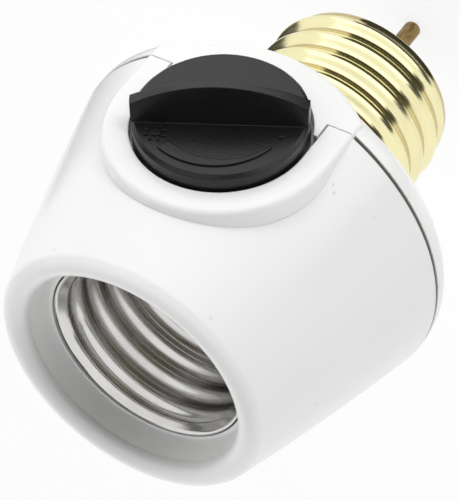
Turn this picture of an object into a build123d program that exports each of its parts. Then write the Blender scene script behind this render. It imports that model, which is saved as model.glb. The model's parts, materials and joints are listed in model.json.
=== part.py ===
import os
from math import acos, atan, atan2, cos, hypot, radians, sin, tan

from build123d import *

# Lamp socket dimmer: it screws into a lampholder by its brass base, takes a lamp in the socket at
# its other end, and a knob on its side turns the potentiometer of the dimmer circuit.
# Origin on the lamp axis at the rear face; +Z runs to the socket mouth, the knob faces -Y.

# Housing
boss_inset = 3.83           # boss's flat, in from the outside radius at the parting plane
seam_z = 8.55               # parting plane above the rear face
mouth_z = 38.9              # front of the lip
lip_round = 1.8             # radius of the full-round lip
body_bulge = 0.25           # swell of the cone's side
throat_step = 1.26          # how much wider the throat is at the lip than the socket's cup
throat_taper = 0.9          # how much the throat narrows down to the socket
wall = 2.0                  # wall of both mouldings
front_wall = 8.9            # solid ring between the hollow and the mouth
rear_inset = 6.88           # rear face's unrounded corner, in from the parting plane's radius
rear_band = 2.91            # straight band behind the parting plane
rear_round = 3.0            # rounding of the rear face's edge
band_blend = 0.55           # share of the straight band that its rounding takes
spigot_height = 2.0         # ring of the rear moulding that centres the front one
spigot_wall = 1.4
shadow_gap = 0.55           # groove that shows at the parting line
shadow_depth = 1.1
fit_gap = 0.15              # clearance between moulded pieces that fit together
seat_gap = 0.1              # clearance of a piece on its seat

# Boss and knob well
well_depth = 2.02           # floor of the well below the boss's flat top
well_back = 6.52            # knob axis in front of the parting plane
floor_wall = 1.2            # floor under the knob
rim_wall = 3.33             # U-shaped rim round the well
boss_edge = 0.7             # rounding of the rim's outer edge
pad_side_z = 6.0            # where the straight sides of the rear pad end, above the rear face
pad_rear_z = 0.1            # rearmost point of the pad's arched end
tongue_gap = 0.3            # gap between the tongue and the rim
horn_reach = 2.35           # how far the tongue runs past the parting plane

# Knob
knob_r = 10.9
knob_gap = 0.37             # gap round the knob
skirt_gap = 0.3             # gap under the knob
knob_proud = 2.18           # face above the boss
knob_edge = 0.45            # chamfer round the face
knob_wall = 1.3
hub_r = 3.0
rib_base = 2.42             # rib thickness at the face
rib_height = 5.4            # rib height at its middle
rib_end_height = 2.5        # rib height at the knob's edge
rib_shift = 0.74            # rib's middle line off the knob's axis, towards the mouth
rib_draft = 8.0             # lean of the rib's sides, degrees
rib_angle = 26.9            # turn of the rib from +X towards the mouth, degrees

# Screw thread of base and socket: 7 threads to the inch, rolled
pitch = 3.629
thread_depth = 0.838
thread_base = 3.2           # width of the ridge at its root
thread_crest = 0.9          # width of the ridge at its crest
thread_sink = 0.12          # how far the ridge runs into its sheet

# Base
base_major_r = 13.13
base_length = 20.65         # brass shell below the rear face
base_sheet = 0.33
base_roll = 0.8             # bevel of the rolled end
roll_width = 1.44           # how far the rolled end turns inwards
base_crest = 3.03           # a crest on the +X side, above the rolled end
base_lead = 2.3             # start of the thread, above the rolled end
base_runout = 0.9           # end of the thread, below the rear face
shell_groove = 1.2          # depth of the groove that holds the shell's top edge
neck_wall = 2.4
nose_step = 0.55            # length of the insulating nose before it narrows
nose_length = 3.5           # length over which it narrows
nose_r = 5.5
nose_wall = 2.4
pin_r = 1.2
pin_reach = 9.2             # contact pin beyond the nose
pin_round = 0.7             # rounding of its end
pin_head_r = 2.5
pin_head = 0.8
tab_width = 2.6             # tab of the brass shell that takes the neutral wire
tab_reach = 3.0

# Socket
shell_major_r = 13.32       # inside of the socket shell's thread
shell_inset = 4.84          # front edge of the socket shell behind the lip
shell_sheet = 0.35
cup_gap = 0.25              # gap between the socket shell and the cup
cup_wall = 1.5
cup_floor_wall = 1.8
roof_gap = 0.8              # space between the tallest circuit part and the cup
flange_width = 3.92         # floor flange of the shell
contact_sheet = 0.4
leaf_width = 6.0
leaf_tail = 2.6             # foot of the leaf behind its rivet
leaf_foot = 3.0             # foot of the leaf before its rivet
leaf_slope = 2.0            # length over which the leaf climbs
leaf_bridge = 3.4           # raised middle that the lamp's tip meets
leaf_rise = 2.2
leaf_bend = 1.2
leaf_inset = 3.5            # leaf's rivet inside the flange
rivet_r = 0.9
rivet_head_r = 1.6
rivet_head = 0.6
rivet_inset = 2.42          # shell's rivets inside the thread

# Screws that hold the halves
screw_inset = 3.57          # screw axes inside the rear face's corner
screw_r = 1.25
screw_length = 14.0
screw_head_r = 2.0
screw_head = 1.0
screw_slot = 0.6
post_r = 2.6
counterbore = 1.1           # depth of the recess for the screw head

# Circuit board
board_z = 3.6
board_wall = 1.6
board_gap = 0.5             # gap round the board
ledge_width = 2.0           # ledge of the rear moulding under the board
notch_gap = 0.4
lead_width = 0.5            # square leads
lead_bend = 0.5
lead_gap = 0.1
lead_tail = 0.9             # length of a lead under the board
body_lift = 0.4             # height of an axial body over the board

# Potentiometer, round the knob axis
pot_r = 8.0
pot_height = 3.6
pot_gap = 0.28              # gap between the potentiometer and the cup
pot_wall = 0.8
pot_skin = 1.0
track_wall = 0.8
track_inset = 0.5
track_gap = 0.05
rotor_gap = 1.0
rotor_wall = 0.95
rotor_play = 0.25
stop_width = 4.4            # stop in the case
stop_tab = 1.6              # tab of the rotor that meets the stop
stop_reach = 0.7
shaft_r = 1.5
shaft_cover = 1.0           # end of the shaft below the knob's face
shaft_flat = 1.1            # distance of the shaft's flat from its axis
shaft_gap = 0.05            # running fit of the shaft in its bore
grip_gap = 0.03             # fit of the knob on the shaft
collar_r = 3.4
terminal_width = 1.4
terminal_sheet = 0.4
terminal_spread = 4.0
terminal_lap = 2.2          # overlap of a terminal on the track's back
wiper_sheet = 0.3
wiper_inset = 0.6
wiper_width = 1.8
wiper_span = 120            # degrees
wiper_foot = 0.8            # contact feet on the track

# Circuit parts: sizes, and places as shares of the board's radius
triac_size = (8.0, 11.0, 3.2)
triac_place = (0.454, 0.340)
triac_pitch = 2.54
triac_hole_r = 1.6
film_size = (10.4, 5.0, 6.2)
film_place = (-0.426, 0.388)
film_leads = 7.5
timing_size = (7.2, 3.6, 6.0)
timing_place = (-0.397, -0.359)
timing_leads = 5.0
case_bevel = 0.6
choke_r = 4.2
choke_height = 6.0
choke_place = (0.397, -0.350)
choke_flange = 0.8
choke_stem_r = 1.8
winding_r = 3.7
winding_gap = 0.05
resistor_length = 6.4
resistor_r = 1.2
resistor_place = (-0.397, -0.577)
diac_length = 4.0
diac_r = 0.95
diac_place = (0.095, -0.577)
lead_reach = 1.6            # straight lead beyond an axial body

# Wires
wire_r = 0.65
wire_bend = 1.6
line_end_x = 4.0
load_end_x = -2.5

# Worked out from the socket outwards
shell_outer_r = shell_major_r + shell_sheet
cup_r = shell_outer_r + cup_gap
cup_outer_r = cup_r + cup_wall
pot_back = cup_outer_r + pot_gap
pot_front = pot_back + pot_height
floor_under = pot_front + seat_gap
well_floor = floor_under + floor_wall
boss_top = well_floor + well_depth
seam_r = boss_top + boss_inset
inside_r = seam_r - wall
rear_face_r = seam_r - rear_inset
screw_x = rear_face_r - screw_inset
well_r = knob_r + knob_gap
boss_r = well_r + rim_wall
knob_z = seam_z + well_back
knob_skirt = well_floor + skirt_gap
knob_face = boss_top + knob_proud
shaft_top = knob_face - shaft_cover
collar_top = well_floor - seat_gap
track_r = pot_r - track_inset
rotor_r = pot_r - pot_skin - rotor_gap
wiper_outer_r = rotor_r - wiper_inset
wiper_inner_r = wiper_outer_r - wiper_width
flange_r = shell_major_r - flange_width
leaf_rivet_x = leaf_inset - flange_r
shell_rivet_y = shell_major_r - rivet_inset

# Worked out along the lamp axis
throat_r = cup_r + throat_step
lip_r = throat_r + lip_round
lip_z = mouth_z - lip_round
shell_edge_z = mouth_z - shell_inset
cavity_top_z = mouth_z - front_wall
to_lip = hypot(seam_r - lip_r, lip_z - seam_z)
cone_lean = acos(lip_round / to_lip) - atan2(lip_z - seam_z, seam_r - lip_r)
cone_end = (lip_r + lip_round * cos(cone_lean), lip_z + lip_round * sin(cone_lean))
cone_middle = ((seam_r + cone_end[0]) / 2 + body_bulge * cos(cone_lean),
               (seam_z + cone_end[1]) / 2 + body_bulge * sin(cone_lean))
rear_taper = rear_inset / (seam_z - rear_band)
rear_wall = wall * hypot(1, rear_taper)
board_wall_r = rear_face_r + board_z * rear_taper - rear_wall
inside_corner_z = (inside_r + rear_wall - rear_face_r) / rear_taper
board_r = board_wall_r - board_gap
ledge_r = board_r - ledge_width
board_top = board_z + board_wall
tallest_part = max(film_size[2], timing_size[2], choke_height)
cup_under_z = board_top + tallest_part + roof_gap
cup_floor_z = cup_under_z + cup_floor_wall
rivet_tail_z = cup_under_z - rivet_head
rivet_grip = contact_sheet + cup_floor_wall
base_root_r = base_major_r - thread_depth
base_mouth_r = base_root_r - roll_width
base_end_z = -base_length
neck_r = base_root_r - base_sheet - fit_gap
neck_end_z = base_end_z + base_sheet + fit_gap
bore_r = neck_r - neck_wall
shell_seat_r = base_root_r + fit_gap
nose_step_r = base_mouth_r - fit_gap
nose_step_z = base_end_z - nose_step
nose_z = nose_step_z - nose_length
pin_tip_z = nose_z - pin_reach
pot_plane = Plane(origin=(0, 0, knob_z), x_dir=(1, 0, 0), z_dir=(0, -1, 0))
on_base = (Align.CENTER, Align.CENTER, Align.MIN)


def disc(radius, low, high, at=(0, 0)):
    return extrude(Plane.XY.offset(low) * Pos(*at) * Circle(radius), high - low)


def ring(outer, inner, low, high):
    return extrude(Plane.XY.offset(low) * (Circle(outer) - Circle(inner)), high - low)


def block(low, high):
    return Pos(*low) * Box(*(b - a for a, b in zip(low, high)), align=Align.MIN)


def turned(*outline):
    """Solid of revolution about Z from edges drawn as (radius, height)."""
    return revolve(Plane.XZ * make_face(outline), Axis.Z)


def turned_corners(*corners):
    return turned(*Polyline(*corners, close=True).edges())


def wire_along(points):
    path = FilletPolyline(*points, radius=wire_bend)
    return sweep(Plane(path @ 0, z_dir=path % 0) * RegularPolygon(wire_r, 8), path)


def lead_along(points):
    path = FilletPolyline(*points, radius=lead_bend)
    return sweep(Plane(path @ 0, z_dir=path % 0) * Rectangle(lead_width, lead_width), path)


def u_outline(radius):
    """Half circle towards the mouth with straight sides back to the parting plane."""
    return make_face([
        ThreePointArc((radius, 0), (0, radius), (-radius, 0)),
        Line((-radius, 0), (-radius, -well_back)),
        Line((-radius, -well_back), (radius, -well_back)),
        Line((radius, -well_back), (radius, 0)),
    ])


def outward(sketch, low, high):
    """Raise a sketch drawn round the knob axis between two heights over the lamp axis."""
    return extrude(pot_plane.offset(low) * sketch, high - low)


def thread_ridge(root_r, direction, low, high, crest_z):
    """One helical ridge standing out of (+1) or into (-1) a tube of radius root_r."""
    path = Edge.make_helix(pitch, high - low, root_r)
    sunk, crest = root_r - direction * thread_sink, root_r + direction * thread_depth
    outline = Polyline(
        (sunk, 0, -thread_base / 2), (crest, 0, -thread_crest / 2),
        (crest, 0, thread_crest / 2), (sunk, 0, thread_base / 2), close=True)
    ridge = Solid.sweep(Face(Wire(outline.edges())), path, is_frenet=True)
    return Pos(0, 0, low) * Rot(0, 0, 360 * (low - crest_z) / pitch) * ridge


def front_housing():
    body = turned(
        Line((0, seam_z), (seam_r, seam_z)),
        ThreePointArc((seam_r, seam_z), cone_middle, cone_end),
        ThreePointArc(cone_end, (lip_r, mouth_z), (throat_r, lip_z)),
        *Polyline((throat_r, lip_z), (throat_r - throat_taper, shell_edge_z), (cup_r, shell_edge_z),
                  (cup_r, cup_floor_z), (0, cup_floor_z), (0, seam_z)).edges())
    pad = outward(u_outline(boss_r), floor_under, boss_top)
    rim = pad.faces().sort_by(Axis.Y)[0].edges().filter_by(lambda edge: edge.center().Z > seam_z + fit_gap)
    pad = fillet(rim, boss_edge)
    body = body - outward(u_outline(boss_r), boss_top, seam_r + wall) + pad
    top_r = inside_r - (cavity_top_z - seam_z) * tan(cone_lean)
    hollow = turned_corners(
        (0, seam_z), (inside_r, seam_z), (top_r, cavity_top_z),
        (cup_outer_r, cavity_top_z), (cup_outer_r, cup_under_z), (0, cup_under_z))
    hollow += disc(inside_r, seam_z, seam_z + spigot_height + fit_gap) \
        - disc(cup_outer_r, cup_under_z, cavity_top_z)
    hollow -= outward(u_outline(boss_r), floor_under, seam_r)
    for side in (-1, 1):
        hollow -= disc(post_r, seam_z, cavity_top_z, (side * screw_x, 0))
    body -= hollow
    body -= outward(u_outline(well_r), well_floor, boss_top + wall)
    body -= outward(Circle(collar_r + fit_gap), floor_under, well_floor)
    for side in (-1, 1):
        body -= disc(screw_r + grip_gap, seam_z, counterbore + screw_length + wall, (side * screw_x, 0))
        body -= disc(rivet_r + fit_gap, cup_under_z, cup_floor_z, (0, side * shell_rivet_y))
    return body - disc(rivet_r + fit_gap, cup_under_z, cup_floor_z, (leaf_rivet_x, 0))


def rear_pad():
    """Flat behind the knob: straight sides from the parting plane and an arched rear end."""
    side = pad_side_z - knob_z
    outline = make_face([
        ThreePointArc((boss_r, side), (0, pad_rear_z - knob_z), (-boss_r, side)),
        *Polyline((-boss_r, side), (-boss_r, -well_back), (boss_r, -well_back), (boss_r, side)).edges()])
    pad = outward(outline, floor_under - wall, boss_top)
    top = pad.faces().sort_by(Axis.Y)[0]
    return fillet(top.edges().filter_by(lambda edge: edge.center().Z < seam_z - fit_gap), boss_edge)


def rear_housing():
    side = FilletPolyline(
        (0, 0), (rear_face_r, 0), (seam_r, seam_z - rear_band), (seam_r, seam_z),
        radius=[rear_round, band_blend * rear_band / tan(atan(rear_taper) / 2)])
    body = turned(*side.edges(), *Polyline((seam_r, seam_z), (0, seam_z), (0, 0)).edges())
    body -= block((-seam_r, -2 * seam_r, -wall), (seam_r, -boss_top, seam_z + wall))
    body += rear_pad()
    groove = ring(2 * seam_r, seam_r - shadow_depth, seam_z - shadow_gap, seam_z)
    body -= groove - block((-boss_r, -2 * seam_r, 0), (boss_r, 0, seam_z))
    body -= block((-boss_r, -2 * seam_r, seam_z - seat_gap), (boss_r, fit_gap - boss_top, seam_z))
    hollow = turned_corners(
        (0, wall), (ledge_r, wall), (ledge_r, board_z), (board_wall_r, board_z),
        (inside_r, inside_corner_z), (inside_r, seam_z), (0, seam_z))
    hollow -= block((-seam_r, -2 * seam_r, 0), (seam_r, -floor_under, seam_z))
    body -= hollow
    spigot = ring(inside_r - fit_gap, inside_r - spigot_wall, seam_z - rear_band, seam_z + spigot_height)
    spigot += ring(inside_r + fit_gap, inside_r - spigot_wall, seam_z - rear_band, seam_z - shadow_gap)
    body += spigot - block((-boss_r - wall, -seam_r, 0), (boss_r + wall, -pot_back, mouth_z))
    tongue_r = well_r - tongue_gap
    tongue = Pos(0, (horn_reach - wall) / 2 - well_back) * Rectangle(2 * tongue_r, horn_reach + wall)
    body += outward(tongue, well_floor + tongue_gap, boss_top)
    body -= outward(Circle(well_r), well_floor, boss_top + wall)
    body -= ring(shell_seat_r + thread_depth, neck_r, 0, shell_groove)
    body += turned_corners(
        (0, nose_z), (0, wall), (neck_r, wall), (neck_r, neck_end_z + base_roll),
        (neck_r - base_roll, neck_end_z), (nose_step_r, neck_end_z), (nose_step_r, nose_step_z),
        (nose_r, nose_z))
    inner_end = base_end_z + nose_wall
    body -= disc(bore_r, inner_end, wall)
    body -= disc(nose_r, nose_z + nose_wall, inner_end)
    body -= disc(pin_r + fit_gap, nose_z, nose_z + nose_wall)
    slot_x = tab_width / 2 + fit_gap
    body -= block((-slot_x, neck_r, 0), (slot_x, shell_seat_r + fit_gap, wall))
    for side in (-1, 1):
        at = (side * screw_x, 0)
        body += disc(post_r, 0, seam_z, at)
        body -= disc(screw_r + fit_gap, 0, seam_z, at)
        body -= disc(screw_head_r + fit_gap, 0, counterbore, at)
    return body


def housing_screws():
    screw = disc(screw_head_r, 0, screw_head) + disc(screw_r, screw_head, screw_length)
    screw -= block((-screw_head_r, -screw_slot / 2, 0), (screw_head_r, screw_slot / 2, screw_head / 2))
    return [Pos(side * screw_x, 0, counterbore - screw_head) * screw for side in (-1, 1)]


def shaft_section(radius, flat):
    return Circle(radius) & Pos(flat - radius, 0) * Rectangle(2 * radius, 4 * radius)


def dimmer_knob():
    body = chamfer(disc(knob_r, knob_skirt, knob_face).faces().sort_by(Axis.Z)[-1].edges(), knob_edge)
    body -= ring(knob_r - knob_wall, hub_r, knob_skirt, knob_face - knob_wall)
    crown = knob_face + rib_height
    ends = knob_face + rib_end_height
    side = make_face([
        ThreePointArc((-knob_r, ends), (0, crown), (knob_r, ends)),
        *Polyline((knob_r, ends), (knob_r, knob_face - knob_wall), (-knob_r, knob_face - knob_wall),
                  (-knob_r, ends)).edges()])
    foot = Plane.XY.offset(knob_face) * Pos(0, rib_shift) * Rectangle(4 * knob_r, rib_base)
    rib = extrude(foot, rib_height, taper=rib_draft)
    rib &= extrude(Plane.XZ * side, rib_base + rib_shift, both=True)
    rib &= disc(knob_r, knob_skirt, crown)
    body += Rot(0, 0, rib_angle) * rib
    bore = Plane.XY.offset(knob_skirt) * shaft_section(shaft_r + grip_gap, shaft_flat + grip_gap)
    return pot_plane * (body - extrude(bore, shaft_top + fit_gap - knob_skirt))


def base_screw_shell():
    inner_r = base_root_r - base_sheet
    top_z = shell_groove - fit_gap
    shell = turned_corners(
        (base_root_r, top_z), (base_root_r, base_end_z + base_roll), (base_root_r - base_roll, base_end_z),
        (base_mouth_r, base_end_z), (base_mouth_r, neck_end_z), (inner_r - base_roll / 2, neck_end_z),
        (inner_r, neck_end_z + base_roll / 2), (inner_r, top_z))
    shell += thread_ridge(base_root_r, 1, base_end_z + base_lead, -base_runout, base_end_z + base_crest)
    return shell + block((-tab_width / 2, inner_r, 0), (tab_width / 2, base_root_r, tab_reach))


def base_contact_pin():
    inner_end = nose_z + nose_wall
    pin_head_z = nose_z - pin_head
    return turned(
        *Polyline((0, inner_end + pin_head), (pin_head_r, inner_end + pin_head), (pin_head_r, inner_end),
                  (pin_r, inner_end), (pin_r, nose_z), (pin_head_r, nose_z), (pin_head_r, pin_head_z),
                  (pin_r, pin_head_z), (pin_r, pin_tip_z + pin_round)).edges(),
        RadiusArc((pin_r, pin_tip_z + pin_round), (pin_r - pin_round, pin_tip_z), pin_round),
        *Polyline((pin_r - pin_round, pin_tip_z), (0, pin_tip_z), (0, inner_end + pin_head)).edges())


def socket_screw_shell():
    shell = ring(shell_outer_r, shell_major_r, cup_floor_z, shell_edge_z)
    shell += ring(shell_outer_r, flange_r, cup_floor_z, cup_floor_z + contact_sheet)
    low, high = cup_floor_z + pitch / 2, shell_edge_z - pitch / 2
    shell += thread_ridge(shell_major_r, -1, low, high, cup_floor_z)
    for side in (-1, 1):
        shell -= disc(rivet_r + fit_gap, cup_floor_z, cup_floor_z + contact_sheet, (0, side * shell_rivet_y))
    return shell


def socket_contact_leaf():
    low = cup_floor_z + contact_sheet / 2
    foot_x = leaf_rivet_x + leaf_foot
    bridge_x = foot_x + leaf_slope
    end_x = bridge_x + leaf_bridge
    path = FilletPolyline(
        (leaf_rivet_x - leaf_tail, 0, low), (foot_x, 0, low), (bridge_x, 0, low + leaf_rise),
        (end_x, 0, low + leaf_rise), (end_x + leaf_slope, 0, low + leaf_rise / 2), radius=leaf_bend)
    section = Plane(path @ 0, x_dir=(0, 1, 0), z_dir=path % 0) * Rectangle(leaf_width, contact_sheet)
    hole = disc(rivet_r + fit_gap, cup_floor_z, cup_floor_z + contact_sheet, (leaf_rivet_x, 0))
    return sweep(section, path) - hole


def socket_rivets():
    top = cup_floor_z + contact_sheet
    rivet = turned_corners(
        (0, top + rivet_head), (rivet_head_r, top + rivet_head), (rivet_head_r, top), (rivet_r, top),
        (rivet_r, top - rivet_grip), (rivet_head_r, top - rivet_grip),
        (rivet_head_r, rivet_tail_z), (0, rivet_tail_z))
    places = [(0, -shell_rivet_y), (0, shell_rivet_y), (leaf_rivet_x, 0)]
    return [Pos(*at) * rivet for at in places]


def axial_leads(length):
    return [(-length / 2 - lead_reach, 0), (length / 2 + lead_reach, 0)]


def radial_leads(spread):
    return [(-spread / 2, 0), (spread / 2, 0)]


def triac_leads():
    return [(step * triac_pitch, -triac_size[1] / 2 - lead_reach) for step in (-1, 0, 1)]


def on_board(place):
    return board_r * place[0], board_r * place[1]


def lead_places():
    """Where each lead goes through the board."""
    groups = [
        (triac_place, triac_leads()), (film_place, radial_leads(film_leads)),
        (timing_place, radial_leads(timing_leads)), (resistor_place, axial_leads(resistor_length)),
        (diac_place, axial_leads(diac_length))]
    return [(on_board(place)[0] + x, on_board(place)[1] + y) for place, leads in groups for x, y in leads]


def circuit_board():
    board = disc(board_r, board_z, board_top)
    board -= block((-board_r, -board_r, board_z), (board_r, notch_gap - floor_under, board_top))
    notch = post_r + notch_gap
    lead_hole = Rectangle(lead_width + 2 * lead_gap, lead_width + 2 * lead_gap)
    for side in (-1, 1):
        board -= disc(notch, board_z, board_top, (side * screw_x, 0))
        at = (side * (screw_x + notch), 0, board_z)
        board -= Pos(*at) * Box(2 * notch, 2 * notch, board_wall, align=on_base)
    for at in lead_places():
        board -= extrude(Plane.XY.offset(board_z) * Pos(*at) * lead_hole, board_wall)
    for step in (-1, 0, 1):
        slot = Rectangle(terminal_width + 2 * lead_gap, terminal_sheet + 2 * lead_gap)
        at = (step * terminal_spread, -pot_back + terminal_sheet / 2)
        board -= extrude(Plane.XY.offset(board_z) * Pos(*at) * slot, board_wall)
    return board - disc(wire_r + notch_gap, board_z, board_top, (0, base_root_r + wire_r))


def potentiometer_case():
    body = disc(pot_r, pot_back, pot_front) + disc(collar_r, pot_front, collar_top)
    body -= disc(pot_r - pot_skin, pot_back + track_wall, pot_front - pot_wall)
    body -= disc(track_r + track_gap, pot_back, pot_back + track_wall)
    body -= disc(shaft_r + shaft_gap, pot_back, collar_top)
    stop = block((-stop_width / 2, -pot_r + pot_skin / 2, pot_back + track_wall),
                 (stop_width / 2, -rotor_r - fit_gap, pot_front - pot_wall))
    return pot_plane * (body + stop)


def potentiometer_track():
    return pot_plane * disc(track_r, pot_back, pot_back + track_wall)


def potentiometer_terminals():
    low = board_z - lead_tail - knob_z
    strip = block((-terminal_width / 2, low, pot_back - terminal_sheet),
                  (terminal_width / 2, terminal_lap - track_r, pot_back))
    return [pot_plane * (Pos(step * terminal_spread, 0) * strip) for step in (-1, 0, 1)]


def potentiometer_rotor():
    top = pot_front - pot_wall - rotor_play
    low = top - rotor_wall
    body = disc(rotor_r, low, top) + disc(shaft_r, low, collar_top)
    body += extrude(Plane.XY.offset(collar_top) * shaft_section(shaft_r, shaft_flat), shaft_top - collar_top)
    body += block((-stop_tab / 2, 0, low), (stop_tab / 2, rotor_r + stop_reach, top))
    return pot_plane * body


def potentiometer_wiper():
    top = pot_front - pot_wall - rotor_play - rotor_wall
    low = top - wiper_sheet
    body = ring(wiper_outer_r, wiper_inner_r, low, top)
    reach = 2 * wiper_outer_r
    half = radians(wiper_span / 2)
    side_x, side_y = reach * sin(half), reach * cos(half)
    sector = Polyline((0, 0), (-side_x, side_y), (0, 2 * reach), (side_x, side_y), close=True)
    body &= extrude(Plane.XY.offset(low) * make_face(sector.edges()), wiper_sheet)
    middle_r = (wiper_outer_r + wiper_inner_r) / 2
    tip = pot_back + track_wall + fit_gap
    for side in (-1, 1):
        at = (side * middle_r * sin(half / 2), middle_r * cos(half / 2))
        body += Pos(*at, tip) * Box(wiper_foot, wiper_foot, low - tip, align=on_base)
    return pot_plane * body


def cased_part(size, at):
    body = Pos(*at, board_top) * Box(*size, align=on_base)
    return chamfer(body.faces().sort_by(Axis.Z)[-1].edges(), case_bevel)


def boxed_capacitor(size, at, spread):
    body = cased_part(size, at)
    lead = Pos(0, 0, board_z - lead_tail) * Box(lead_width, lead_width, board_wall + lead_tail, align=on_base)
    for x, y in radial_leads(spread):
        body += Pos(at[0] + x, at[1] + y) * lead
    return body


def triac(at):
    _, depth, height = triac_size
    body = cased_part(triac_size, at)
    body -= disc(triac_hole_r, board_top, board_top + height, (at[0], at[1] + depth / 4))
    lead_z = board_top + height / 2
    for x, y in triac_leads():
        foot = (at[0] + x, at[1] + y)
        inside = (foot[0], foot[1] + lead_reach + case_bevel, lead_z)
        body += lead_along([(*foot, board_z - lead_tail), (*foot, lead_z), inside])
    return body


def axial_part(length, radius, at):
    axis_z = board_top + body_lift + radius
    end = length / 2 + lead_reach
    points = [(at[0] + x, at[1], z) for x, z in (
        (-end, board_z - lead_tail), (-end, axis_z), (end, axis_z), (end, board_z - lead_tail))]
    return Pos(*at, axis_z) * Rot(0, 90, 0) * Cylinder(radius, length) + lead_along(points)


def choke_core(at):
    top = board_top + choke_height
    return Pos(*at) * turned_corners(
        (0, board_top), (choke_r, board_top), (choke_r, board_top + choke_flange),
        (choke_stem_r, board_top + choke_flange), (choke_stem_r, top - choke_flange),
        (choke_r, top - choke_flange), (choke_r, top), (0, top))


def choke_winding(at):
    low, high = board_top + choke_flange, board_top + choke_height - choke_flange
    return Pos(*at) * ring(winding_r, choke_stem_r + winding_gap, low + winding_gap, high - winding_gap)


def line_wire():
    low = nose_z + nose_wall + pin_head
    middle = (low + board_z) / 2
    return wire_along([
        (0, 0, low), (0, 0, middle - line_end_x),
        (line_end_x, 0, middle + line_end_x), (line_end_x, 0, board_z)])


def neutral_wire():
    y = base_root_r + wire_r
    high = rivet_tail_z - wire_bend
    return wire_along([
        (0, y, wall + fit_gap), (0, y, high - 2 * wire_bend), (0, shell_rivet_y, high),
        (0, shell_rivet_y, rivet_tail_z)])


def load_wire():
    middle = (board_top + rivet_tail_z) / 2
    return wire_along([
        (load_end_x, 0, board_top), (load_end_x, 0, middle - wire_bend / 2),
        (leaf_rivet_x, 0, middle + wire_bend / 2), (leaf_rivet_x, 0, rivet_tail_z)])


nodes = {
    "front_housing": front_housing(),
    "rear_housing": rear_housing(),
    "housing_screws": housing_screws(),
    "dimmer_knob": dimmer_knob(),
    "base_screw_shell": base_screw_shell(),
    "base_contact_pin": base_contact_pin(),
    "socket_screw_shell": socket_screw_shell(),
    "socket_contact_leaf": socket_contact_leaf(),
    "socket_rivets": socket_rivets(),
    "circuit_board": circuit_board(),
    "potentiometer_case": potentiometer_case(),
    "potentiometer_track": potentiometer_track(),
    "potentiometer_terminals": potentiometer_terminals(),
    "potentiometer_rotor": potentiometer_rotor(),
    "potentiometer_wiper": potentiometer_wiper(),
    "triac": triac(on_board(triac_place)),
    "film_capacitor": boxed_capacitor(film_size, on_board(film_place), film_leads),
    "timing_capacitor": boxed_capacitor(timing_size, on_board(timing_place), timing_leads),
    "choke_core": choke_core(on_board(choke_place)),
    "choke_winding": choke_winding(on_board(choke_place)),
    "resistor": axial_part(resistor_length, resistor_r, on_board(resistor_place)),
    "diac": axial_part(diac_length, diac_r, on_board(diac_place)),
    "line_wire": line_wire(),
    "neutral_wire": neutral_wire(),
    "load_wire": load_wire(),
}

os.makedirs("parts", exist_ok=True)
for name, solids in nodes.items():
    shape = Compound(children=solids) if isinstance(solids, list) else solids
    export_step(shape, f"parts/{name}.step")
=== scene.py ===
import json
from math import cos, pi, radians, sin, tau

import bmesh
import bpy
from mathutils import Matrix, Vector


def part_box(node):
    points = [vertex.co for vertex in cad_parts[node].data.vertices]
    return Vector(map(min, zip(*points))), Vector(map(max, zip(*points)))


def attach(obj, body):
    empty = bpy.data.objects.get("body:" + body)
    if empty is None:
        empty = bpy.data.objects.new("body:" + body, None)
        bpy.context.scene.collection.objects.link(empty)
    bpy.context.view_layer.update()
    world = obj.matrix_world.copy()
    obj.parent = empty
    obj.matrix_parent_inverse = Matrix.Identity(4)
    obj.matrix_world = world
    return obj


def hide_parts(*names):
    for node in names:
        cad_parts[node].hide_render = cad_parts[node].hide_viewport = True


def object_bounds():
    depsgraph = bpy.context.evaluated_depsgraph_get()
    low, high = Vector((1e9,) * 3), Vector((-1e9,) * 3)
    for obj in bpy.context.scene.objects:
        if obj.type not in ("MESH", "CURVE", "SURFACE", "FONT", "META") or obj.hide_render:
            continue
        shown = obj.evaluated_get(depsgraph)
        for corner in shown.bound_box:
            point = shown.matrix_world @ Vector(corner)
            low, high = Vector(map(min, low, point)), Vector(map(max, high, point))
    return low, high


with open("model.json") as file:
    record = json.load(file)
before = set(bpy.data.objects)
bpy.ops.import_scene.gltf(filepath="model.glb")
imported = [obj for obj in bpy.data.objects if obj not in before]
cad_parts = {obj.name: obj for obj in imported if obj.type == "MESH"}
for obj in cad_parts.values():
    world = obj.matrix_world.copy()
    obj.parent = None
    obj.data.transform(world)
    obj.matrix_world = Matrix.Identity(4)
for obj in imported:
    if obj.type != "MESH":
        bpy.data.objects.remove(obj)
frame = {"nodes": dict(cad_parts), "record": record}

MM = 0.001
cad_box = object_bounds()

# Rolled screw shells
PITCH = 3.629 * MM
THREAD_DEPTH = 0.838 * MM
SHELL_STEPS = 160               # points round a shell
ROW_STEP = 0.2 * MM             # height of a row of its faces
SHARP_CORNER = radians(40)      # edges that turn by more than this aren't smoothed
BASE_SHEET = 0.33 * MM
BASE_TOP = 1.05 * MM            # shell's top edge, inside the rear moulding
BASE_CREST = 3.03 * MM          # a crest on the +X side, above the rolled end
BASE_ROLL = 0.8 * MM
ROLL_WIDTH = 1.44 * MM
ROLL_STEPS = 7
BASE_FADE = (0.9 * MM, 2.5 * MM)        # thread grows in above the rolled end
BASE_RUNOUT = (0.1 * MM, 1.6 * MM)      # and dies out below the rear face
TAB_HALF = 1.3 * MM
SOCKET_SHEET = 0.35 * MM
SOCKET_CREST = 0.95 * MM        # a crest on the +X side, above the socket's floor
SOCKET_CURL = 1.15              # makes its crests a little narrower than its roots
RIM_FLARE = 0.1 * MM            # mouth of the socket shell opens by this much
RIM_SLOPE = 0.72                # and narrows inwards at this rate
RIM_FADE = (1.0 * MM, 1.9 * MM)         # until the thread takes over
FLANGE_SHEET = 0.4 * MM
FLANGE_R = 9.4 * MM

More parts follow.
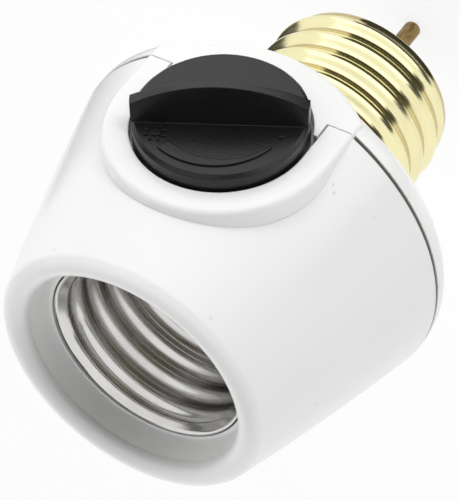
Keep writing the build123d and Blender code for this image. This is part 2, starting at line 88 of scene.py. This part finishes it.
# Groove between the housing's halves
GROOVE_Z = 8.275 * MM
GROOVE_HALF = 0.29 * MM
GROOVE_R = 26.4 * MM
GROOVE_FADE = 0.2 * MM          # painted shade and dirt set in over this depth
GROOVE_DEPTH = 1.4 * MM         # and goes down to this one
GROOVE_FRONT = -22.15 * MM      # it ends at the boss
GROOVE_SHARE = 0.85             # how far the painted shade and dirt cover the plastic

# Raised marks on the knob
MARK_RISE = 0.22 * MM
MARK_SINK = 0.08 * MM
RIB_ANGLE = radians(26.9)
RIB_RISE = 5.4 * MM
WEDGE_R = 8.55 * MM
WEDGE_SPAN = radians(98)
WEDGE_WIDTHS = (0.35 * MM, 1.75 * MM)
WEDGE_STEPS = 44
SIGN_R = 8.4 * MM
SIGN_TURN = radians(64)
CIRCLE_STEPS = 24
DOT_R = 0.42 * MM
SUN_R = 0.62 * MM
RAY_COUNT = 8
RAY_INNER = 0.92 * MM
RAY_OUTER = 1.42 * MM
RAY_HALF = 0.13 * MM

# Finishes
WHITE_SHADES = ((0.83, 0.832, 0.826), (0.865, 0.865, 0.86))
DUST = (0.4, 0.39, 0.36)
DUST_SHARE = 0.38
# painted shade with some dirt, for the groove between the halves
GROOVE_SHADE_AND_DIRT = (0.36, 0.33, 0.29)
BLACK_SHADES = ((0.0035, 0.0037, 0.004), (0.007, 0.0073, 0.0077))
# the dark copper is painted shade in the grooves between the turns
COPPER_SHADES = ((0.22, 0.07, 0.025), (0.72, 0.33, 0.13))
COPPER_WAVE = 700.0                     # scale that makes turns of about 0.45 mm
ROUND_AXIS = (0.12, 0.12, 1.6)          # how draw lines stretch the grain
ALONG_AXIS = (1.6, 1.6, 0.12)
SMEAR = 0.3                             # tarnish follows them less
BASE_ROOTS = (12.36 * MM, 12.29 * MM)   # radii between which the thread's roots are darkened
TINNED_LEAD = (0.72, 0.71, 0.69)
LEAD_ROUGHNESS = 0.34
LEAD_SHARE = 0.28                       # leads take up this much of a part's height
BAND_HALF = 0.35 * MM
RESISTOR_BANDS = (                      # place along the resistor, and colour
    (-2.0 * MM, (0.22, 0.07, 0.02)),
    (-1.0 * MM, (0.01, 0.01, 0.01)),
    (0.0, (0.75, 0.28, 0.03)),
    (2.0 * MM, (0.62, 0.45, 0.12)),
)
METALS = {                              # bright and dull colour, roughness
    "zinc_steel": ((0.66, 0.67, 0.69), (0.42, 0.42, 0.40), 0.3),
    "contact_brass": ((0.85, 0.70, 0.35), (0.60, 0.45, 0.20), 0.2),
    "socket_metal": ((0.70, 0.69, 0.67), (0.50, 0.48, 0.45), 0.15),
    "rivet_brass": ((0.80, 0.66, 0.36), (0.55, 0.42, 0.20), 0.28),
    "tinned_metal": ((0.72, 0.72, 0.70), (0.50, 0.50, 0.48), 0.3),
}
MOULDINGS = {                           # light and dark colour, roughness
    "case_plastic": ((0.055, 0.055, 0.057), (0.035, 0.035, 0.036), 0.4),
    "rotor_plastic": ((0.85, 0.84, 0.80), (0.76, 0.75, 0.70), 0.35),
    "line_insulation": ((0.07, 0.07, 0.07), (0.04, 0.04, 0.04), 0.45),
    "neutral_insulation": ((0.88, 0.88, 0.86), (0.78, 0.78, 0.75), 0.45),
    "load_insulation": ((0.58, 0.08, 0.06), (0.42, 0.05, 0.04), 0.45),
}
LAMINATES = {                           # light and dark colour
    "board_laminate": ((0.55, 0.40, 0.20), (0.38, 0.25, 0.10)),
    "track_laminate": ((0.32, 0.21, 0.12), (0.18, 0.11, 0.06)),
}
LEADED_PARTS = {                        # finish, light and dark colour, roughness, bands
    "triac": ("triac_case", (0.055, 0.055, 0.057), (0.03, 0.03, 0.031), 0.4, ()),
    "film_capacitor": ("film_case_leads", (0.74, 0.43, 0.12), (0.58, 0.31, 0.08), 0.22, ()),
    "timing_capacitor": ("timing_case", (0.70, 0.40, 0.11), (0.55, 0.29, 0.07), 0.22, ()),
    "resistor": ("resistor_coat", (0.80, 0.68, 0.48), (0.70, 0.57, 0.38), 0.35, RESISTOR_BANDS),
    "diac": ("diac_coat", (0.16, 0.31, 0.62), (0.10, 0.21, 0.46), 0.15, ()),
}

# Camera
EYE = Vector((-141.298, -272.629, 230.266)) * MM
VIEW_RIGHT = Vector((-0.8541624, 0.0317086, -0.51903869))
VIEW_UP = Vector((0.35862062, -0.68687862, -0.63213053))
FOCAL_PIXELS = 2963.5
IMAGE_HEIGHT = 500
SENSOR = 36.0
CLIP_START = 10 * MM

# Studio
LIGHT = (1.0, 1.0, 1.0)
BODY_CENTRE = Vector((0.0, 0.0, 12 * MM))
LAMP_SIDE = Vector((-0.12, -1.0, 0.03))     # from the body to the lamp
LAMP_DISTANCE = 450 * MM
LAMP_SIZE = (500 * MM, 50 * MM)
LAMP_POWER = 1.1
SHADED_SIDE = (-0.38, -0.82, 0.42)          # the dimmer part of the room
SHADED_FADE = (0.25, 0.9)
ROOM_LEVELS = (1.33, 0.03)                  # away from that part, and in it
SIDE_FALL = 0.1                             # the room dims a little towards +X
BEHIND_FADE = (0.0, 0.8)
BEHIND_LEVELS = (1.0, 0.7)                  # and behind the object
FLOOR_HALF = 3.0
PAPER_SHADES = ((0.86, 0.86, 0.86), (0.9, 0.9, 0.9))
FLOOR_GLOW = 1.08
GLOW_SHARE = 0.5                            # part of the floor's light that is glow
SEEN_GLOW_SHARE = 0.2                       # more of it where the floor is seen or mirrored
CLOTH_SHADES = ((0.045, 0.044, 0.042), (0.07, 0.069, 0.066))
SHEET_GLOW = 1.55
CARD_LIFT = 0.4 * MM                        # cards on the floor lie this far above it
ARC_STEPS = 24
ABOVE_X = (-400 * MM, 200 * MM)
ABOVE_Y = (-100 * MM, 500 * MM)
ABOVE_Z = 460 * MM


class Field:
    """A value or colour that changes over a surface; arithmetic on it adds Math nodes."""

    def __init__(self, finish, socket):
        self.finish = finish
        self.socket = socket

    def maths(self, operation, first, second=0.0):
        return self.finish.node("ShaderNodeMath", {"operation": operation}, {0: first, 1: second})

    def __add__(self, other):
        return self.maths("ADD", self, other)

    def __radd__(self, other):
        return self.maths("ADD", other, self)

    def __sub__(self, other):
        return self.maths("SUBTRACT", self, other)

    def __rsub__(self, other):
        return self.maths("SUBTRACT", other, self)

    def __mul__(self, other):
        return self.maths("MULTIPLY", self, other)

    def __rmul__(self, other):
        return self.maths("MULTIPLY", other, self)

    def __lt__(self, other):
        return self.maths("LESS_THAN", self, other)

    def __gt__(self, other):
        return self.maths("GREATER_THAN", self, other)

    def __abs__(self):
        return self.maths("ABSOLUTE", self)


class Finish:
    """Node tree of one material or of the world."""

    def __init__(self, owner):
        owner.use_nodes = True
        self.owner = owner
        self.tree = owner.node_tree
        self.tree.nodes.clear()

    def node(self, kind, settings=None, sockets=None, out=0):
        made = self.tree.nodes.new(kind)
        for name, value in (settings or {}).items():
            setattr(made, name, value)
        for name, value in (sockets or {}).items():
            self.feed(made.inputs[name], value)
        return Field(self, made.outputs[out]) if made.outputs else None

    def feed(self, socket, value):
        if isinstance(value, Field):
            self.tree.links.new(value.socket, socket)
        elif isinstance(value, tuple) and len(socket.default_value) > len(value):
            socket.default_value = (*value, 1.0)
        else:
            socket.default_value = value

    def place(self):
        return self.node("ShaderNodeTexCoord", out="Object")

    def axis(self, name, place=None):
        return self.node("ShaderNodeSeparateXYZ", {}, {0: place or self.place()}, out=name)

    def noise(self, grain, detail=3.0, roughness=0.55, place=None):
        """Noise whose blotches are about `grain` metres across."""
        sockets = {"Scale": 1.0 / grain, "Detail": detail, "Roughness": roughness}
        sockets["Vector"] = place or self.place()
        return self.node("ShaderNodeTexNoise", {}, sockets, out="Fac")

    def stretched(self, scale):
        return self.node("ShaderNodeMapping", {}, {"Vector": self.place(), "Scale": scale})

    def radius(self):
        """Distance from the lamp axis."""
        flat = self.stretched((1.0, 1.0, 0.0))
        return self.node("ShaderNodeVectorMath", {"operation": "LENGTH"}, {0: flat}, out="Value")

    def between(self, value, low, high, to_low=0.0, to_high=1.0):
        sockets = {"Value": value, "From Min": low, "From Max": high, "To Min": to_low, "To Max": to_high}
        return self.node("ShaderNodeMapRange", {"interpolation_type": "SMOOTHSTEP"}, sockets)

    def mix(self, mask, under, over):
        settings = {"data_type": "RGBA", "blend_type": "MIX"}
        return self.node("ShaderNodeMix", settings, {0: mask, 6: under, 7: over}, out=2)

    def bump(self, height, distance, strength, normal=None):
        sockets = {"Height": height, "Distance": distance, "Strength": strength}
        if normal is not None:
            sockets["Normal"] = normal
        return self.node("ShaderNodeBump", {}, sockets)

    def soft_edge(self, radius):
        return self.node("ShaderNodeBevel", {"samples": 6}, {"Radius": radius})

    def glow(self, strength):
        return self.node("ShaderNodeEmission", {}, {"Color": LIGHT, "Strength": strength})

    def surface(self, **sockets):
        named = {name.replace("_", " "): value for name, value in sockets.items()}
        return self.out(self.node("ShaderNodeBsdfPrincipled", {}, named))

    def out(self, shader):
        in_world = isinstance(self.owner, bpy.types.World)
        kind = "ShaderNodeOutputWorld" if in_world else "ShaderNodeOutputMaterial"
        self.node(kind, {}, {"Surface": shader})
        return self.owner

    def seen_directly(self):
        """1 for rays from the camera and for mirrored or transmitted ones, 0 for diffuse light."""
        seen = 0.0
        for ray in ("Is Camera Ray", "Is Glossy Ray", "Is Transmission Ray"):
            seen = self.node("ShaderNodeLightPath", out=ray) + seen
        return seen.maths("MINIMUM", seen, 1.0)


def new_finish(name):
    return Finish(bpy.data.materials.new(name))


def white_plastic():
    """Gloss moulding with faint flow marks and dust specks, and painted shade with some dirt in the groove
    between the halves.
    """
    f = new_finish("white_plastic")
    flow = f.noise(22 * MM, 2.0)
    peel = f.noise(1.1 * MM, 2.0)
    dust = f.between(f.noise(2.1 * MM, 1.0), 0.77, 0.8)
    radius = f.radius()
    # the groove gets painted shade with some dirt, darker towards its depth
    groove = abs(f.axis("Z") - GROOVE_Z) < GROOVE_HALF
    groove = groove * f.between(radius, GROOVE_R, GROOVE_R - GROOVE_FADE)
    groove = groove * (f.axis("Y") > GROOVE_FRONT) * (radius > GROOVE_R - GROOVE_DEPTH)
    colour = f.mix(dust * DUST_SHARE, f.mix(flow, *WHITE_SHADES), DUST)
    return f.surface(
        Base_Color=f.mix(groove * GROOVE_SHARE, colour, GROOVE_SHADE_AND_DIRT),
        Roughness=0.2 + 0.1 * flow + 0.05 * dust, IOR=1.5,
        Normal=f.bump(peel, 0.012 * MM, 0.6, f.soft_edge(0.22 * MM)))


def black_plastic():
    """Knob moulding with a fine pebble texture and a little wear."""
    f = new_finish("black_plastic")
    pebble = f.noise(0.42 * MM, 3.0, 0.6)
    wear = f.noise(6 * MM, 4.0)
    return f.surface(
        Base_Color=f.mix(wear, *BLACK_SHADES), Roughness=0.24 + 0.1 * pebble + 0.06 * wear, IOR=1.45,
        Normal=f.bump(pebble, 0.06 * MM, 0.55, f.soft_edge(0.18 * MM)))


def rolled_metal(name, bright, dull, roughness, tarnish=0.35, roots=None, draw=ROUND_AXIS, blotch=4 * MM):
    """Bright metal: long fine draw lines, a little tarnish, and a darker colour in a thread's roots."""
    f = new_finish(name)
    lines = f.noise(0.5 * MM, 3.0, 0.6, f.stretched(draw))
    smeared = f.stretched(tuple(part ** SMEAR for part in draw))
    stain = f.between(f.noise(blotch, 4.0, 0.55, smeared), 0.45, 0.75)
    colour = f.mix(stain * tarnish, bright, dull)
    if roots:
        colour = f.mix(f.between(f.radius(), *roots) * (0.3 + 0.5 * lines), colour, dull)
    return f.surface(
        Base_Color=colour, Metallic=1.0, Roughness=roughness + 0.1 * stain + 0.06 * lines,
        Normal=f.bump(lines, 0.012 * MM, 0.5))


def moulded(name, light, dark, roughness, grain=0.8 * MM):
    f = new_finish(name)
    blotch = f.noise(3 * MM)
    skin = f.noise(grain)
    return f.surface(
        Base_Color=f.mix(blotch, dark, light), Roughness=roughness + 0.12 * skin,
        Normal=f.bump(skin, 0.03 * MM, 0.5))


def laminate(name, light, dark):
    f = new_finish(name)
    fibres = f.noise(1.2 * MM, 5.0, 0.65, f.stretched((1.0, 0.15, 1.0)))
    specks = f.between(f.noise(0.6 * MM, 2.0), 0.62, 0.7)
    colour = f.mix(specks * 0.4, f.mix(fibres, dark, light), dark)
    return f.surface(
        Base_Color=colour, Roughness=0.5 + 0.15 * fibres, Normal=f.bump(fibres, 0.03 * MM, 0.6))


def leaded_part(node, name, light, dark, roughness, bands):
    """Coated body on tinned leads, which are the lowest part of the node."""
    f = new_finish(name)
    low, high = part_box(node)
    middle = (low.x + high.x) / 2
    lead = f.axis("Z") < low.z + LEAD_SHARE * (high.z - low.z)
    skin = f.noise(0.9 * MM)
    colour = f.mix(skin, dark, light)
    for offset, band in bands:
        colour = f.mix(abs(f.axis("X") - (middle + offset)) < BAND_HALF, colour, band)
    return f.surface(
        Base_Color=f.mix(lead, colour, TINNED_LEAD), Metallic=lead,
        Roughness=f.between(lead, 0.0, 1.0, roughness, LEAD_ROUGHNESS) + 0.1 * skin,
        Normal=f.bump(skin, 0.04 * MM, 0.5))


def copper_wire():
    """Enamelled turns of the choke, one above the other, with painted shade in the grooves between them."""
    f = new_finish("copper_wire")
    turns = f.node(
        "ShaderNodeTexWave", {"wave_type": "BANDS", "bands_direction": "Z"},
        {"Vector": f.place(), "Scale": COPPER_WAVE, "Distortion": 0.6, "Detail": 1.0}, out="Fac")
    return f.surface(
        Base_Color=f.mix(turns, *COPPER_SHADES), Metallic=0.85, Roughness=0.28 + 0.15 * turns,
        Normal=f.bump(turns, 0.12 * MM, 0.8))


def slot_finishes():
    """Finishes by the record's material slots."""
    made = {
        "white_plastic": white_plastic(),
        "black_plastic": black_plastic(),
        "copper_wire": copper_wire(),
        "base_brass": rolled_metal(
            "base_brass", (0.925, 0.86, 0.51), (0.36, 0.22, 0.06), 0.13, tarnish=0.06, roots=BASE_ROOTS),
        "ferrite": moulded("ferrite", (0.12, 0.12, 0.13), (0.06, 0.06, 0.065), 0.6, grain=0.3 * MM),
    }
    for make, looks in ((rolled_metal, METALS), (moulded, MOULDINGS), (laminate, LAMINATES)):
        for slot, look in looks.items():
            made[slot] = make(slot, *look)
    return made


def node_finishes():
    """Finishes of single nodes, which take the place of their slot's."""
    made = {node: leaded_part(node, *look) for node, look in LEADED_PARTS.items()}
    made["base_contact_pin"] = rolled_metal(
        "pin_brass", (0.29, 0.195, 0.08), (0.03, 0.02, 0.012), 0.16, tarnish=1.4, draw=ALONG_AXIS,
        blotch=1.3 * MM)
    return made


finishes = slot_finishes()
own_finishes = node_finishes()


def dress_nodes():
    for part in frame["record"]["subparts"]:
        node = part["node"]
        materials = frame["nodes"][node].data.materials
        materials.clear()
        materials.append(own_finishes.get(node) or finishes[part["material_slot"]])


def ease(low, high, value):
    share = min(1.0, max(0.0, (value - low) / (high - low)))
    return share * share * (3 - 2 * share)


def ridge(z, angle, crest_z):
    """Height of a rolled right-hand thread, from 0 at its root to 1 at its crest."""
    return (1 + cos(tau * (z - crest_z) / PITCH - angle)) / 2


def plain(radius):
    return lambda angle: radius


def heights(start, end):
    count = max(1, round(abs(end - start) / ROW_STEP))
    return [start + (end - start) * step / count for step in range(count + 1)]


def piece(name, shape, smooth=False):
    bmesh.ops.recalc_face_normals(shape, faces=shape.faces)
    mesh = bpy.data.meshes.new(name)
    shape.to_mesh(mesh)
    shape.free()
    mesh.polygons.foreach_set("use_smooth", [smooth] * len(mesh.polygons))
    if smooth:
        mesh.set_sharp_from_angle(angle=SHARP_CORNER)
    made = bpy.data.objects.new(name, mesh)
    bpy.context.scene.collection.objects.link(made)
    return made


def rolled_sheet(name, rows, extra=None):
    """Closed piece whose rows (radius by angle, height) are joined one to the next round the axis."""
    shape = bmesh.new()
    angles = [tau * step / SHELL_STEPS for step in range(SHELL_STEPS)]
    loops = []
    for radius, z in rows:
        loops.append([shape.verts.new((radius(a) * cos(a), radius(a) * sin(a), z)) for a in angles])
    for row, loop in enumerate(loops):
        other = loops[row - 1]
        for step in range(SHELL_STEPS):
            shape.faces.new((other[step - 1], other[step], loop[step], loop[step - 1]))
    if extra:
        extra(shape)
    return piece(name, shape, smooth=True)


def dress(made, body, slot, node=None):
    made.data.materials.append(finishes[slot])
    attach(made, body)
    if node:
        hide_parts(node)


def base_shell():
    low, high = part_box("base_screw_shell")
    end = low.z
    root = high.x - THREAD_DEPTH
    mouth = root - ROLL_WIDTH
    centre = root - BASE_ROLL

    def wall(z, inset):
        grown = ease(end + BASE_FADE[0], end + BASE_FADE[1], z)
        grown *= ease(-BASE_RUNOUT[0], -BASE_RUNOUT[1], z)
        return lambda angle: root - inset + THREAD_DEPTH * grown * ridge(z, angle, end + BASE_CREST)

    def rolled(inset, turn):
        reach = BASE_ROLL - inset
        return plain(centre + reach * cos(turn)), end + BASE_ROLL - reach * sin(turn)

    def tab(shape):
        corners = bmesh.ops.create_cube(shape, size=1.0)["verts"]
        size = Vector((2 * TAB_HALF, BASE_SHEET, high.z))
        for corner in corners:
            corner.co = corner.co * size + Vector((0, root - BASE_SHEET / 2, high.z / 2))

    turns = [pi / 2 * step / ROLL_STEPS for step in range(1, ROLL_STEPS + 1)]
    rows = [(wall(z, 0.0), z) for z in heights(BASE_TOP, end + BASE_ROLL)]
    rows += [rolled(0.0, turn) for turn in turns]
    rows += [(plain(mouth), end), (plain(mouth), end + BASE_SHEET)]
    rows += [rolled(BASE_SHEET, turn) for turn in reversed(turns)]
    rows += [(wall(z, BASE_SHEET), z) for z in heights(end + BASE_ROLL, BASE_TOP)]
    shell = rolled_sheet("base_rolled_shell", rows, tab)
    dress(shell, "housing", "base_brass", "base_screw_shell")


def socket_shell():
    low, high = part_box("socket_screw_shell")
    seat, edge = low.z, high.z
    seat_top = seat + FLANGE_SHEET
    major = high.x - SOCKET_SHEET
    edge_round = SOCKET_SHEET / 4

    def wall(z, outset):
        grown = ease(seat_top, seat_top + PITCH / 2, z) * THREAD_DEPTH
        threaded = ease(edge - RIM_FADE[0], edge - RIM_FADE[1], z)
        rim = major + RIM_FLARE - RIM_SLOPE * (edge - z)

        def radius(angle):
            thread = major - grown * ridge(z, angle, seat + SOCKET_CREST) ** SOCKET_CURL
            return outset + rim + (thread - rim) * threaded

        return radius

    rows = [(plain(major + RIM_FLARE + edge_round), edge)]
    rows += [(wall(z, 0.0), z) for z in heights(edge - edge_round, seat_top)]
    rows += [(plain(FLANGE_R), seat_top), (plain(FLANGE_R), seat)]
    rows += [(wall(z, SOCKET_SHEET), z) for z in heights(seat, edge - edge_round)]
    rows += [(plain(major + RIM_FLARE + SOCKET_SHEET - edge_round), edge)]
    shell = rolled_sheet("socket_rolled_shell", rows)
    dress(shell, "housing", "socket_metal", "socket_screw_shell")


def knob_marks():
    """Sun, dot and wedge, raised on the knob's face beside its rib."""
    low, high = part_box("dimmer_knob")
    face_y = low.y + RIB_RISE
    centre_z = (low.z + high.z) / 2
    middle = RIB_ANGLE + pi / 2
    shape = bmesh.new()

    def raised(outline):
        top = [shape.verts.new((x, face_y - MARK_RISE, centre_z + z)) for x, z in outline]
        foot = [shape.verts.new((x, face_y + MARK_SINK, centre_z + z)) for x, z in outline]
        shape.faces.new(top)
        shape.faces.new(list(reversed(foot)))
        for step in range(len(outline)):
            shape.faces.new((top[step - 1], foot[step - 1], foot[step], top[step]))

    def polar(radius, angle, at=(0.0, 0.0)):
        return at[0] + radius * cos(angle), at[1] + radius * sin(angle)

    def circle(radius, at):
        return [polar(radius, tau * step / CIRCLE_STEPS, at) for step in range(CIRCLE_STEPS)]

    def wedge_edge(side):
        for step in range(WEDGE_STEPS + 1):
            share = step / WEDGE_STEPS
            width = WEDGE_WIDTHS[0] + (WEDGE_WIDTHS[1] - WEDGE_WIDTHS[0]) * (1 - share)
            yield polar(WEDGE_R + side * width / 2, middle + WEDGE_SPAN * (share - 0.5))

    def ray(turn, at):
        along = Vector((cos(turn), sin(turn)))
        across = Vector((-sin(turn), cos(turn))) * RAY_HALF
        for reach, side in ((RAY_INNER, 1), (RAY_INNER, -1), (RAY_OUTER, -1), (RAY_OUTER, 1)):
            corner = along * reach + across * side
            yield at[0] + corner.x, at[1] + corner.y

    raised([*wedge_edge(1), *reversed(list(wedge_edge(-1)))])
    raised(circle(DOT_R, polar(SIGN_R, middle + SIGN_TURN)))
    sun = polar(SIGN_R, middle - SIGN_TURN)
    raised(circle(SUN_R, sun))
    for number in range(RAY_COUNT):
        raised(list(ray(tau * number / RAY_COUNT, sun)))
    marks = piece("knob_brightness_marks", shape)
    dress(marks, "knob", "black_plastic")


def camera():
    data = bpy.data.cameras.new("camera")
    data.sensor_width = SENSOR
    data.lens = FOCAL_PIXELS / IMAGE_HEIGHT * SENSOR
    data.clip_start = CLIP_START
    made = bpy.data.objects.new("camera", data)
    back = VIEW_RIGHT.cross(VIEW_UP)
    made.matrix_world = Matrix((VIEW_RIGHT, VIEW_UP, back)).transposed().to_4x4()
    made.location = EYE
    bpy.context.scene.collection.objects.link(made)
    bpy.context.scene.camera = made


def front_lamp():
    """Wide low strip lamp that faces the knob."""
    data = bpy.data.lights.new("front_lamp", "AREA")
    data.shape = "RECTANGLE"
    data.size, data.size_y = LAMP_SIZE
    data.energy = LAMP_POWER
    made = bpy.data.objects.new("front_lamp", data)
    made.location = BODY_CENTRE + LAMP_SIDE.normalized() * LAMP_DISTANCE
    made.rotation_euler = LAMP_SIDE.to_track_quat("Z", "Y").to_euler()
    made.visible_camera = False
    made.visible_glossy = False
    bpy.context.scene.collection.objects.link(made)


def dark_cloth():
    f = new_finish("dark_cloth")
    weave = f.noise(20 * MM)
    return f.surface(Base_Color=f.mix(weave, *CLOTH_SHADES), Roughness=0.9)


def bright_sheet():
    f = new_finish("bright_sheet")
    return f.out(f.glow(SHEET_GLOW))


def arc(start, end, radius, height):
    turns = [radians(start + (end - start) * step / ARC_STEPS) for step in range(ARC_STEPS + 1)]
    return [(radius * cos(turn), radius * sin(turn), height) for turn in turns]


def reflector(name, near_edge, far_edge, material):
    """Strip between two edges that only mirrored rays see."""
    shape = bmesh.new()
    near = [shape.verts.new(point) for point in near_edge]
    far = [shape.verts.new(point) for point in far_edge]
    for step in range(1, len(near)):
        shape.faces.new((near[step - 1], near[step], far[step], far[step - 1]))
    made = piece(name, shape)
    made.data.materials.append(material)
    for ray in ("camera", "diffuse", "transmission", "shadow", "volume_scatter"):
        setattr(made, f"visible_{ray}", False)


def reflectors():
    """Cards that only mirrored rays see, which paint dark and bright reflected bands on the brass and the
    socket.
    """
    low = cad_box[0][2] + CARD_LIFT
    cloth = dark_cloth()
    sheet = bright_sheet()
    above = [[(x, y, ABOVE_Z) for x in ABOVE_X] for y in ABOVE_Y]
    reflector("dark_card_above", *above, cloth)
    cards = [       # name, material, degrees round the lamp axis, radius and height of its two edges
        ("dark_card_front", cloth, (-200, 20), (90 * MM, 45 * MM), (90 * MM, 76 * MM)),
        # painted shadow: a dark card where the floor is shaded under the base, seen only in mirrored rays
        ("dark_card_floor", cloth, (-168, -70), (10.5 * MM, low), (58 * MM, low)),
        ("dark_card_corner", cloth, (-168, -150), (58 * MM, low), (140 * MM, 8 * MM)),
        ("dark_card_side", cloth, (-12, 20), (40 * MM, low), (90 * MM, -8 * MM)),
        # painted highlights: glowing cards that are no lamps, seen only in mirrored rays
        ("bright_card_floor", sheet, (-148, -45), (60 * MM, low), (135 * MM, low)),
        ("bright_card_front", sheet, (-148, -50), (160 * MM, low), (160 * MM, 40 * MM)),
    ]
    for name, material, span, near, far in cards:
        reflector(name, arc(*span, *near), arc(*span, *far), material)


def floor():
    """Pale paper that glows, because the object is lit from the floor's side as well."""
    f = new_finish("floor_paper")
    colour = f.mix(f.noise(30 * MM), *PAPER_SHADES)
    sheet = f.node(
        "ShaderNodeBsdfPrincipled", {}, {"Base Color": colour, "Roughness": 1.0, "Specular IOR Level": 0.0})
    share = GLOW_SHARE + SEEN_GLOW_SHARE * f.seen_directly()
    shape = bmesh.new()
    bmesh.ops.create_grid(shape, x_segments=1, y_segments=1, size=FLOOR_HALF)
    made = piece("floor", shape)
    made.location.z = cad_box[0][2]
    paper = f.node("ShaderNodeMixShader", {}, {0: share, 1: sheet, 2: f.glow(FLOOR_GLOW)})
    made.data.materials.append(f.out(paper))


def room():
    """World that lights the object softly, and is plain white where it is seen or mirrored."""
    world = bpy.data.worlds.new("studio")
    bpy.context.scene.world = world
    f = Finish(world)
    towards = f.node("ShaderNodeTexCoord", out="Generated")
    shaded = f.node(
        "ShaderNodeVectorMath", {"operation": "DOT_PRODUCT"}, {0: towards, 1: SHADED_SIDE}, out="Value")
    level = f.between(shaded, *SHADED_FADE, *ROOM_LEVELS) * (1 - SIDE_FALL * f.axis("X", towards))
    level = level * f.between(f.axis("Y", towards), *BEHIND_FADE, *BEHIND_LEVELS)
    soft = f.node("ShaderNodeBackground", {}, {"Color": LIGHT, "Strength": level})
    white = f.node("ShaderNodeBackground", {}, {"Color": LIGHT, "Strength": 1.0})
    f.out(f.node("ShaderNodeMixShader", {}, {0: f.seen_directly(), 1: soft, 2: white}))


camera()
dress_nodes()
base_shell()
socket_shell()
knob_marks()
room()
front_lamp()
reflectors()
floor()
bpy.context.scene.view_settings.view_transform = "Standard"
